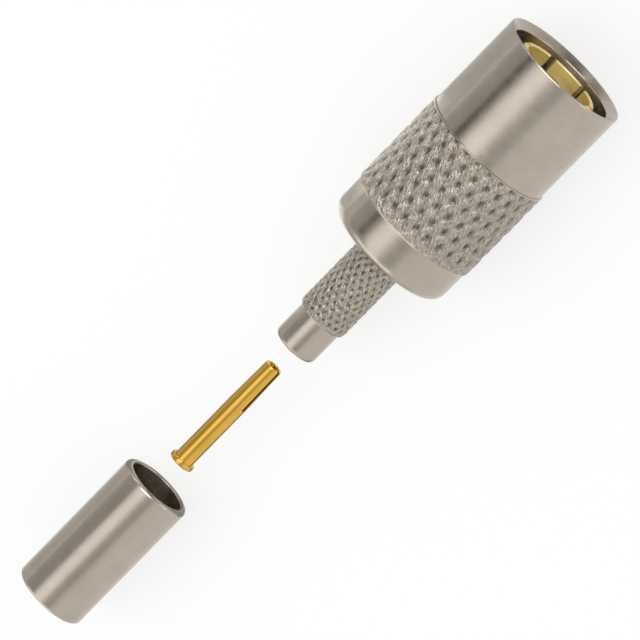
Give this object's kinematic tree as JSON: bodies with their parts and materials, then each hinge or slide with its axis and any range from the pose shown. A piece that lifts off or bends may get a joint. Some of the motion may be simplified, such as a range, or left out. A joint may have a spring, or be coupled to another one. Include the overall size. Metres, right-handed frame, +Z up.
{
  "type": "smb connector",
  "caption": "Straight crimp plug for thin coaxial cable: knurled body with slotted spring collet, centre contact and crimp ferrule laid out in line.",
  "frame": {"origin": "centre of the front face of the spring collet, where a mating jack seats", "axes": "+X along the connector's axis, out of the open mouth; +Z up, with the body lying on its knurled grip"},
  "size_m": [0.0346, 0.0066, 0.0066],
  "materials": {
    "nickel_plate": "satin nickel plate, slightly warm",
    "gold_plate": "thin gold plate",
    "white_plastic": "waxy white"
  },
  "bodies": {
    "plug": {"plug_body": "nickel_plate", "spring_collet": "gold_plate", "insulator": "white_plastic"},
    "contact": {"centre_contact": "gold_plate"},
    "ferrule": {"crimp_ferrule": "nickel_plate"}
  },
  "joints": [
    {"name": "contact_slide", "type": "slide", "parent": "plug", "child": "contact", "axis": [1, 0, 0], "range_m": [0, 0.01726]},
    {"name": "ferrule_slide", "type": "slide", "parent": "plug", "child": "ferrule", "axis": [1, 0, 0], "range_m": [0, 0.01523]}
  ]
}
